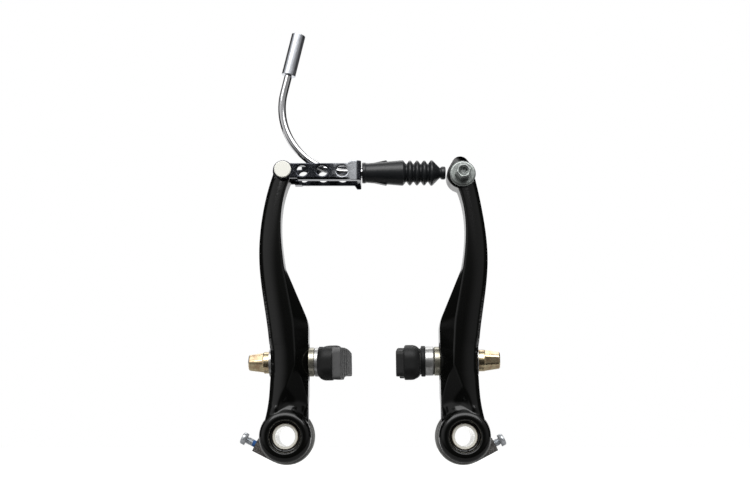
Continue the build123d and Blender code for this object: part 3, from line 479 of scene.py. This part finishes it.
PAD_FINISH = {side: pad_rubber(side) for side in SIDES}
BOOT_RUBBER = moulded(
    "boot_rubber", (0.012, 0.013, 0.0145), (0.017, 0.018, 0.020),
    rough=0.28, grain_size=0.50, grain_depth=0.006,
)
LINER_NYLON = moulded(
    "liner_nylon", (0.70, 0.70, 0.66), (0.62, 0.62, 0.58),
    rough=0.40, grain_size=0.50, grain_depth=0.005,
)
wear("noodle_liner", LINER_NYLON)
print("rubber done")

# %% [markdown]
# ## Spring housings
# Each housing is a plain grey cup. Its tab is darker, with a sparkling cast skin. One material does both:
# the distance from the pivot axis tells the cup from the tab.

# %% Housing finish
TAB_START = (11.3 * MM, 11.8 * MM)


def housing_grey(side):
    material, place = new_finish(side + "_housing_grey")
    pivot = Vector((SIDES[side] * PIVOT_HALF, 0.0, 0.0))
    on_tab = away(place, "y", pivot).rise(*TAB_START)
    sparkle = noise(place, 0.35 * MM, 2.0, 0.7)
    cup = noise(place, 2.5 * MM).blend(rgb(0.58, 0.58, 0.56), rgb(0.48, 0.48, 0.46))
    tab = sparkle.rise(0.45, 0.66).blend(rgb(0.13, 0.12, 0.115), rgb(0.42, 0.40, 0.39))
    return close_finish(
        material, place,
        Base_Color=on_tab.blend(cup, tab),
        Metallic=0.75,
        Roughness=0.30 + sparkle * 0.14,
        Normal=bump(place, sparkle * (0.2 + on_tab * 0.8), 0.025 * MM),
    )


for side in SIDES:
    wear(side + "_spring_housing", housing_grey(side))
print("housings done")

# %% [markdown]
# ## Softened pieces
# A forging has no sharp edge anywhere: the die leaves every ridge and valley rounded. Mouldings and
# pressings are the same on a smaller scale. The CAD solids have crisp edges, so a copy of each such piece
# is remeshed into small even quads and smoothed. Smoothing rounds edges and hollows alike and leaves flat
# faces flat, and more passes round more. A vertex group says where it works: the arms' pivot bores are
# machined later and stay crisp, and a second round of passes draws out the hollow where an arm runs into
# its pivot boss.

# %% Tools for remeshing
SAME_POINT = 0.002 * MM


def merged_copy(node, name):
    """A new object with the CAD node's mesh, its split corners joined."""
    mesh = nodes[node].data.copy()
    mesh.name = name
    work = bmesh.new()
    work.from_mesh(mesh)
    bmesh.ops.remove_doubles(work, verts=work.verts, dist=SAME_POINT)
    bmesh.ops.recalc_face_normals(work, faces=work.faces)
    work.to_mesh(mesh)
    work.free()
    piece = bpy.data.objects.new(name, mesh)
    bpy.context.scene.collection.objects.link(piece)
    return piece


def settle(piece):
    """Turns the piece's modifiers into plain mesh."""
    name = piece.name
    plain = bpy.data.meshes.new_from_object(piece.evaluated_get(bpy.context.evaluated_depsgraph_get()))
    piece.modifiers.clear()
    piece.data = plain
    plain.name = name


def soften_where(piece, passes, weight):
    """Smooths the points for which weight, a function of the place, is above 0."""
    group = piece.vertex_groups.new(name="soft")
    for v in piece.data.vertices:
        share = weight(v.co)
        if share > 0.0:
            group.add([v.index], share, "REPLACE")
    smooth = piece.modifiers.new("rounding", "SMOOTH")
    smooth.factor = 0.5
    smooth.iterations = passes
    smooth.vertex_group = group.name
    settle(piece)
    piece.vertex_groups.clear()


def add_slab(piece, low, high):
    """Adds a closed box to a piece, which the remesh then fuses with it."""
    work = bmesh.new()
    work.from_mesh(piece.data)
    for v in bmesh.ops.create_cube(work, size=1.0)["verts"]:
        v.co = Vector(start + (end - start) * (c + 0.5) for start, end, c in zip(low, high, v.co))
    work.to_mesh(piece.data)
    work.free()


print("remeshing tools ready")

# %% [markdown]
# `softened` takes these steps in order for one piece. `hand_over` then gives the new piece its finish and
# puts it in the place of its CAD node, on the same moving body.

# %% One softened piece
def hand_over(piece, node, finish, body):
    """Gives a remade piece its finish and puts it in the place of its CAD node."""
    piece.data.materials.clear()
    piece.data.materials.append(finish)
    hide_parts(node)
    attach(piece, body)
    print(piece.name, len(piece.data.vertices), "points")


def everywhere(place):
    return 1.0


def softened(node, name, finish, body, voxel, rounds=((3, everywhere),), slabs=(), shape=None):
    """Remade piece for a CAD node, from voxels of this size in mm. Rounds holds (passes, weight) and slabs
    holds (low, high) corners. Shape, where there is one, moves points before they are smoothed."""
    piece = merged_copy(node, name)
    for low, high in slabs:
        add_slab(piece, low, high)
    remesh = piece.modifiers.new("even quads", "REMESH")
    remesh.mode = "VOXEL"
    remesh.voxel_size = voxel * MM
    settle(piece)
    if shape:
        shape(piece.data)
    for passes, weight in rounds:
        soften_where(piece, passes, weight)
    piece.data.shade_smooth()
    hand_over(piece, node, finish, body)


print("soften ready")

# %% [markdown]
# The arms get three broader forms before they are smoothed. The pivot boss is a rounded ring: its outer
# shoulder is wide and its inner one, at the bore, is narrow. Above it runs a hollow, a round fillet that
# leads from the ring's side into the scoop of the arm. And the arm's front is rounded off broadly towards
# its outer edge. Each form is a formula for how far forward the surface lies, as a function of the
# distance from the pivot or from the arm's outer edge.

# %% Forms of the arms
RING_FRONT = -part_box("left_arm")[0].y
RING_OUT = 10.4 * MM
RING_IN = 6.2 * MM
OUTER_SHOULDER = 2.6 * MM
INNER_SHOULDER = 0.9 * MM
HOLLOW_ROUND = 6.5 * MM
HOLLOW_FOOT = 13.9 * MM
HOLLOW_FLOOR = 20.0 * MM
HOLLOW_RISE = 0.42
HOLLOW_END = 20.0 * MM
HOLLOW_TILT = 0.05
HOLLOW_TURN = 27.0 * MM
HOLLOW_SOFT = (15.0 * MM, 20.0 * MM)
SCOOP_AT_PIVOT = 18.71 * MM
SCOOP_ACROSS = 0.54
SCOOP_UP = 0.195
SCOOP_EDGE = (-1.5 * MM, 4.0 * MM)
SCOOP_INNER = (7.0 * MM, 9.5 * MM)
ARM_FRONT = 22.4 * MM
CROWN_WIDTH = 8.0 * MM
CROWN_DROP = 5.0 * MM
CROWN_START = 12.0 * MM
FRONT_HALF = 14.0 * MM
FACING_FRONT = -0.2
BORE_MARGIN = 0.15 * MM
BORE_SOFT = (6.0 * MM, 6.6 * MM)
RING_SOFT = 0.6 * MM
EDGE_STEP = 0.5 * MM


def ring_front(reach):
    """How far forward the boss ring lies at a distance from the pivot."""
    outer = RING_OUT - OUTER_SHOULDER
    inner = RING_IN + INNER_SHOULDER
    if reach > outer:
        return RING_FRONT - OUTER_SHOULDER + sqrt(max(0.0, OUTER_SHOULDER ** 2 - (reach - outer) ** 2))
    if reach < inner:
        return RING_FRONT - INNER_SHOULDER + sqrt(max(0.0, INNER_SHOULDER ** 2 - (inner - reach) ** 2))
    return RING_FRONT


def hollow_front(reach, inward, depth):
    """How far forward the hollow above the boss lies, where the surface lay at depth before."""
    inside = max(0.0, inward)
    floor = HOLLOW_FLOOR - inside * HOLLOW_TILT - inside ** 2 / HOLLOW_TURN
    if reach > HOLLOW_FOOT:
        return min(depth, floor + (reach - HOLLOW_FOOT) * HOLLOW_RISE)
    return floor + HOLLOW_ROUND - sqrt(HOLLOW_ROUND ** 2 - (HOLLOW_FOOT - reach) ** 2)


def crown_front(from_edge):
    """How far forward the arm's front lies at a distance from its outer edge."""
    out = min(1.0, 1 - from_edge / CROWN_WIDTH)
    return ARM_FRONT - CROWN_DROP * (1 - sqrt(1 - out ** 2))


def inside_scoop(inward, up):
    """Distance from the line where the scoop begins on the arm's front, positive inside the scoop."""
    line = (ARM_FRONT - SCOOP_AT_PIVOT + SCOOP_ACROSS * inward) / SCOOP_UP
    return (line - up) * SCOOP_UP / Vector((SCOOP_UP, SCOOP_ACROSS)).length


def ease(value, low, high):
    """0 below low, 1 above high, with a soft step between."""
    share = min(1.0, max(0.0, (value - low) / (high - low)))
    return share * share * (3 - 2 * share)


print("forms of the arms ready")

# %% [markdown]
# The forms are put on the remeshed arm point by point. The ring takes the front of the boss. Other points
# that face forwards take the hollow, by a share that fades out at the edges of the scoop, and then the
# rounding of the outer edge. Smoothing follows: a few passes everywhere but in the bore, and many in the
# hollow.

# %% Shape the arms
def outer_edge(mesh, sign):
    """The arm's outer edge, as the largest distance from the middle in each step of height."""
    edge = {}
    for v in mesh.vertices:
        level = round(v.co.z / EDGE_STEP)
        edge[level] = max(edge.get(level, 0.0), v.co.x * sign)
    return edge


def forge(sign):
    def shape(mesh):
        edge = outer_edge(mesh, sign)
        normals = [v.normal.copy() for v in mesh.vertices]
        for v, normal in zip(mesh.vertices, normals):
            inward = PIVOT_HALF - v.co.x * sign
            reach = Vector((inward, v.co.z)).length
            depth = -v.co.y
            if RING_IN + BORE_MARGIN < reach < RING_OUT and depth > RING_FRONT - OUTER_SHOULDER:
                v.co.y = -ring_front(reach)
            elif normal.y < FACING_FRONT and depth > FRONT_HALF:
                if RING_OUT <= reach < HOLLOW_END and v.co.z > 0:
                    share = ease(inside_scoop(inward, v.co.z), *SCOOP_EDGE) * (1 - ease(inward, *SCOOP_INNER))
                    depth += (hollow_front(reach, inward, depth) - depth) * share
                from_edge = edge[round(v.co.z / EDGE_STEP)] - v.co.x * sign
                if from_edge < CROWN_WIDTH and v.co.z > CROWN_START:
                    depth = min(depth, crown_front(from_edge))
                v.co.y = -depth
    return shape


def away_from_bore(sign):
    def weight(place):
        reach = Vector((place.x - sign * PIVOT_HALF, place.z)).length
        return ease(reach, *BORE_SOFT)
    return weight


def near_hollow(sign):
    def weight(place):
        reach = Vector((place.x - sign * PIVOT_HALF, place.z)).length
        if place.z < 0 or place.y > -FRONT_HALF or reach < RING_OUT - RING_SOFT:
            return 0.0
        return 1 - ease(reach, *HOLLOW_SOFT)
    return weight


for side, sign in SIDES.items():
    softened(
        side + "_arm", side + "_forged_arm", ARM_FINISH, side + "_arm_group", voxel=0.34,
        rounds=((5, away_from_bore(sign)), (40, near_hollow(sign))), shape=forge(sign),
    )

# %% [markdown]
# The front plate of the link is pressed with narrow lips that turn inwards along its upper and lower
# edges, and the back plate reaches higher and lower than the front one, which shows through the holes.
# They are plain slabs here, measured from the pin, and the remesh fuses them with the plates.

# %% Lips of the link
LIP_SHEET = 0.8 * MM
LIP_DEPTH = 3.6 * MM
LIP_START = 6.2 * MM
LIP_END = 30.5 * MM
LIP_OVERLAP = 0.1 * MM
LINK_BACK = -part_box("noodle_link")[1].y
LINK_SHEET = 1.5 * MM
PLATE_TOP = 2.8 * MM
PLATE_LOW = 4.0 * MM
BACK_TOP = 5.2 * MM
BACK_START = 7.0 * MM
BACK_END = 31.0 * MM


def link_lips():
    pin = middle("link_pin")
    lip_ends = (pin.x + LIP_START, pin.x + LIP_END)
    lip_depths = (-LINK_FRONT + LIP_OVERLAP, -LINK_FRONT + LIP_DEPTH)
    upper = (pin.z + PLATE_TOP - LIP_SHEET, pin.z + PLATE_TOP)
    lower = (pin.z - PLATE_LOW, pin.z - PLATE_LOW + LIP_SHEET)
    back_depths = (-LINK_BACK - LINK_SHEET, -LINK_BACK)
    back_ends = (pin.x + BACK_START, pin.x + BACK_END)
    back_top = (pin.z + PLATE_TOP - LIP_SHEET, pin.z + BACK_TOP)
    boxes = (
        (lip_ends, lip_depths, upper), (lip_ends, lip_depths, lower),
        (back_ends, back_depths, lower), (back_ends, back_depths, back_top),
    )
    return [tuple(zip(*box)) for box in boxes]


LINK_SLABS = link_lips()
print(len(LINK_SLABS), "slabs for the link")

# %% [markdown]
# The smaller pieces have finer edges, so their voxels are smaller. Three or four passes are enough for a
# pressed, moulded or turned edge.

# %% Smaller soft pieces
softened("noodle_link", "pressed_link", LINK_FINISH, "link", voxel=0.18, slabs=LINK_SLABS)
softened("cable_boot", "moulded_boot", BOOT_RUBBER, "noodle", voxel=0.22)
softened("anchor_bolt", "anchor_bolt_head", ANCHOR_PLATE, "right_arm_group", voxel=0.11)
softened(
    "anchor_washer", "pressed_anchor_washer", ANCHOR_PLATE, "right_arm_group", voxel=0.13,
)
for side in SIDES:
    group = side + "_arm_group"
    softened(
        side + "_brake_pad", side + "_moulded_pad", PAD_FINISH[side], group, voxel=0.30,
        rounds=((4, everywhere),),
    )
    softened(side + "_pad_nut", side + "_soft_nut", ZINC[side], group, voxel=0.13)
    softened(
        side + "_inner_cup_washer", side + "_soft_cup", CUP_ZINC[side], group, voxel=0.14,
    )
    softened(
        side + "_inner_ball_washer", side + "_soft_ball", NICKEL[side], group, voxel=0.14,
    )

# %% [markdown]
# ## Threads
# The CAD screws and studs are plain cylinders. A geometry graph winds a ridge: a spiral with the thread's
# pitch is the path, and a square standing on its corner is swept along it, half buried in the core.

# %% Thread graph
TURN_POINTS = 36


def thread_graph():
    tree = bpy.data.node_groups.new("spiral_thread", "GeometryNodeTree")
    tree.is_modifier = True
    for name in ("Radius", "Depth", "Pitch", "Length"):
        tree.interface.new_socket(name, in_out="INPUT", socket_type="NodeSocketFloat")
    tree.interface.new_socket("Finish", in_out="INPUT", socket_type="NodeSocketMaterial")
    tree.interface.new_socket("Geometry", in_out="OUTPUT", socket_type="NodeSocketGeometry")
    start = Wire(tree)
    radius, depth, pitch, length, finish = start.node("NodeGroupInput").outputs()[:5]
    core = radius - depth
    path = start.node("GeometryNodeCurveSpiral", None, {
        "Resolution": TURN_POINTS, "Rotations": length / pitch,
        "Start Radius": core, "End Radius": core, "Height": length,
    })
    level = start.node("GeometryNodeSetCurveNormal", {"mode": "Z_UP"}, {"Curve": path})
    corners = {"Resolution": 4, "Radius": depth}
    square = start.node("GeometryNodeCurvePrimitiveCircle", {"mode": "RADIUS"}, corners)
    swept = {"Curve": level, "Profile Curve": square, "Fill Caps": True}
    ridge = start.node("GeometryNodeCurveToMesh", None, swept)
    whole = start.node("GeometryNodeRealizeInstances", None, {"Geometry": ridge})
    coated = start.node("GeometryNodeSetMaterial", None, {"Geometry": whole, "Material": finish})
    start.node("NodeGroupOutput", None, {"Geometry": coated})
    return tree


THREAD = thread_graph()
print("thread graph with", len(THREAD.nodes), "nodes")

# %% [markdown]
# The shank of a copy of the CAD piece is pulled in to the core's radius, so the crests end up where the
# plain shank was. The thread is taken from the graph as plain mesh, turned on to the piece's axis and
# joined to the copy.

# %% One threaded piece
ON_SHANK = 0.05 * MM
SHARP_CREST = 35


def thread_mesh(finish, **sizes):
    """Plain mesh of one thread that starts at the origin and climbs along z."""
    holder = bpy.data.objects.new("thread", bpy.data.meshes.new("thread"))
    bpy.context.scene.collection.objects.link(holder)
    winding = holder.modifiers.new("thread", "NODES")
    winding.node_group = THREAD
    values = dict(sizes, Finish=finish)
    for socket in THREAD.interface.items_tree:
        if socket.in_out == "INPUT":
            winding[socket.identifier] = values[socket.name]
    settle(holder)
    mesh = holder.data
    bpy.data.objects.remove(holder)
    return mesh


def threaded(node, name, finish, body, slot, start, axis, radius, depth, pitch, length):
    """Remade screw or stud: the CAD piece with its shank pulled in, and a thread from start along axis."""
    piece = merged_copy(node, name)
    for v in piece.data.vertices:
        from_start = v.co - start
        on_axis = start + axis * from_start.dot(axis)
        out = v.co - on_axis
        if abs(out.length - radius) < ON_SHANK:
            v.co = on_axis + out * ((radius - depth) / radius)
    ridge = thread_mesh(finish, Radius=radius, Depth=depth, Pitch=pitch, Length=length)
    ridge.transform(axis.to_track_quat("Z", "Y").to_matrix().to_4x4())
    work = bmesh.new()
    work.from_mesh(ridge)
    bmesh.ops.translate(work, verts=work.verts, vec=start)
    work.from_mesh(piece.data)
    bmesh.ops.recalc_face_normals(work, faces=work.faces)
    work.to_mesh(piece.data)
    work.free()
    piece.data.shade_smooth()
    piece.data.set_sharp_from_angle(angle=radians(SHARP_CREST))
    hand_over(piece, node, finish, body)


print("threads ready")

# %% [markdown]
# The tension screws are blue-grey zinc, with a patch of blue thread lock on the shank. The studs of the
# pads are plain steel. A screw's direction is that of its sliding joint, and its tip and the ends of the
# studs are read from the CAD meshes. A thread starts and ends a little short of the ends, so that a screw
# turned fully in still clears its hole.

# %% Screws and studs
SCREW_RADIUS = 1.5 * MM
SCREW_LENGTH = 11.0 * MM
SCREW_THREAD = {"depth": 0.26 * MM, "pitch": 0.5 * MM}
STUD_RADIUS = 3.0 * MM
STUD_THREAD = {"depth": 0.45 * MM, "pitch": 1.0 * MM}
THREAD_LEAD = 0.6 * MM
LOCK_PATCH = (3.4 * MM, 5.8 * MM)
LOCK_BLUR = 0.2 * MM
TIP_FACE = 0.05 * MM


def screw_line(side):
    """Middle of the screw's tip, and the direction from there to its head."""
    axis = Vector(joints[side + "_screw_slide"]["axis"])
    points = [v.co for v in nodes[side + "_tension_screw"].data.vertices]
    end = min(p.dot(axis) for p in points)
    face = [p for p in points if p.dot(axis) < end + TIP_FACE]
    spans = [(min(p[i] for p in face), max(p[i] for p in face)) for i in range(3)]
    return Vector(((low + high) / 2 for low, high in spans)), axis


def screw_zinc(side):
    material, place = new_finish(side + "_screw_zinc")
    tip, axis = screw_line(side)
    below = tip.dot(axis) + SCREW_LENGTH - along(place, axis)
    edge = noise(place, 0.8 * MM) * (1.2 * MM)
    begins, ends = ((below + edge).rise(limit, limit + LOCK_BLUR) for limit in LOCK_PATCH)
    lock = begins * (1.0 - ends)
    fine = noise(place, 0.22 * MM, 2.0)
    zinc = noise(place, 1.5 * MM).blend(rgb(0.70, 0.72, 0.74), rgb(0.54, 0.57, 0.61))
    return close_finish(
        material, place,
        Base_Color=lock.blend(zinc, rgb(0.05, 0.16, 0.42)),
        Metallic=0.7 - lock * 0.6,
        Roughness=0.26 + fine * 0.10 + lock * 0.2,
        Normal=bump(place, fine, 0.004 * MM),
    )


for side in SIDES:
    tip, axis = screw_line(side)
    threaded(
        side + "_tension_screw", side + "_threaded_screw", screw_zinc(side), side + "_screw", "zinc_screw",
        start=tip + axis * THREAD_LEAD, axis=axis, radius=SCREW_RADIUS,
        length=SCREW_LENGTH - 2 * THREAD_LEAD, **SCREW_THREAD,
    )
    first, second = bar_ends(side + "_pad_post")
    bar = (second - first).normalized()
    threaded(
        side + "_pad_post", side + "_threaded_stud", STUD_STEEL, side + "_arm_group", "steel_stud",
        start=first + bar * THREAD_LEAD, axis=bar, radius=STUD_RADIUS,
        length=(second - first).length - 2 * THREAD_LEAD, **STUD_THREAD,
    )

# %% [markdown]
# ## Floor, lamps and surroundings
# The floor below the brake glows white to the camera but is grey to the lamps, so that it lights the arms
# little from below. Metal that mirrors the far part of the floor sees white there too.

# %% Floor
FLOOR_DROP = 0.025
FLOOR_FRONT = -0.06
FLOOR_SIZE = 3.0
FLOOR_FAR = (0.10, 0.30)
LIGHT_PATHS = ("Is Camera Ray", "Is Glossy Ray", "Is Transmission Ray")


def stage_floor(low):
    corners = [
        (-FLOOR_SIZE, FLOOR_FRONT, low), (FLOOR_SIZE, FLOOR_FRONT, low),
        (FLOOR_SIZE, FLOOR_SIZE, low), (-FLOOR_SIZE, FLOOR_SIZE, low),
    ]
    mesh = bpy.data.meshes.new("studio_floor")
    mesh.from_pydata(corners, [], [(0, 1, 2, 3)])
    floor = bpy.data.objects.new("studio_floor", mesh)
    bpy.context.scene.collection.objects.link(floor)
    material, place = new_finish("studio_floor_white")
    path = place.node("ShaderNodeLightPath").socket.node.outputs
    seen, glossy, through = (Wire(place.tree, path[name]) for name in LIGHT_PATHS)
    far = axes(place)[1].rise(*FLOOR_FAR)
    glow = seen.math("MAXIMUM", seen, (glossy + through) * far)
    close_finish(
        material, place,
        Base_Color=noise(place, 0.4).blend(rgb(0.34, 0.34, 0.34), rgb(0.36, 0.36, 0.36)),
        Roughness=0.8,
        Emission_Color=glow.blend(rgb(0, 0, 0), rgb(1, 1, 1)),
        Emission_Strength=1.0,
    )
    mesh.materials.append(material)


stage_floor(cad_box[0][2] - FLOOR_DROP)
print("floor placed")

# %% [markdown]
# One large soft lamp hangs in front, above the camera, so that black faces that look straight ahead stay
# black while the upper roundings catch a bright line. A second, weaker lamp lights the back from above.
# The room glows a little round the first lamp and overhead. It also grows lighter to the left and right,
# which draws broad soft bands on the outer roundings. Bright metal is hard to tell from a white
# background, so the room is dark straight to the sides, as when a photographer stands black cards there:
# each tube then gets a dark edge. The world shader reads the direction of a ray to tell these sides
# apart. The camera, and metal that mirrors what lies straight behind, see plain white.

# %% Lamps and world
LOOK_AT = Vector((0.0, -0.015, 0.065))


def softbox(name, azimuth, elevation, distance, width, height, watts):
    """A soft lamp aimed at the brake. Azimuth 0 is straight in front, positive to the right."""
    turn = Euler((radians(-elevation), 0.0, radians(azimuth)))
    place = LOOK_AT + turn.to_matrix() @ Vector((0.0, -distance, 0.0))
    lamp = bpy.data.lights.new(name, "AREA")
    lamp.shape = "RECTANGLE"
    lamp.size = width
    lamp.size_y = height
    lamp.energy = watts
    box = bpy.data.objects.new(name, lamp)
    box.location = place
    box.rotation_euler = (LOOK_AT - place).to_track_quat("-Z", "Y").to_euler()
    bpy.context.scene.collection.objects.link(box)
    print(name, tuple(round(v, 3) for v in place))


softbox("key_softbox", azimuth=0, elevation=44, distance=1.0, width=1.50, height=0.62, watts=11.0)
softbox("back_softbox", azimuth=180, elevation=52, distance=1.0, width=0.80, height=0.50, watts=2.5)


SIDE_FADE = (0.12, 0.80)
CARD_EDGE = (0.955, 0.995)
LEFT_LEVEL = 0.65
RIGHT_LEVEL = 0.30


def studio_world():
    world = bpy.data.worlds.new("studio_world")
    world.use_nodes = True
    world.node_tree.nodes.clear()
    start = Wire(world.node_tree)
    x, y, z = axes(start.node("ShaderNodeTexCoord"))
    glow = (0.0 - y).rise(0.70, 0.95) * z.rise(0.10, 0.45) * 0.7
    front = (0.0 - y).rise(-0.05, 0.25) * z.rise(-0.42, 0.06)
    left = (0.0 - x).rise(*SIDE_FADE) * (1.0 - (0.0 - x).rise(*CARD_EDGE)) * LEFT_LEVEL
    right = x.rise(*SIDE_FADE) * (1.0 - x.rise(*CARD_EDGE)) * RIGHT_LEVEL
    above = z.rise(0.30, 0.80) * (0.0 - y).rise(-0.10, 0.30) * 0.5
    behind = y.rise(0.93, 0.985) * 0.97
    ceiling = z.rise(0.5, 0.9) * 0.3
    level = 0.02 + behind + glow + above + ceiling + (left + right) * front
    seen = start.node("ShaderNodeLightPath")
    strength = level.math("MAXIMUM", seen, level)
    sky = start.node("ShaderNodeBackground", None, {"Color": rgb(1.0, 1.0, 1.0), "Strength": strength})
    start.node("ShaderNodeOutputWorld", None, {"Surface": sky})
    bpy.context.scene.world = world


studio_world()
bpy.context.scene.view_settings.view_transform = "Standard"
print("lamps and world ready")
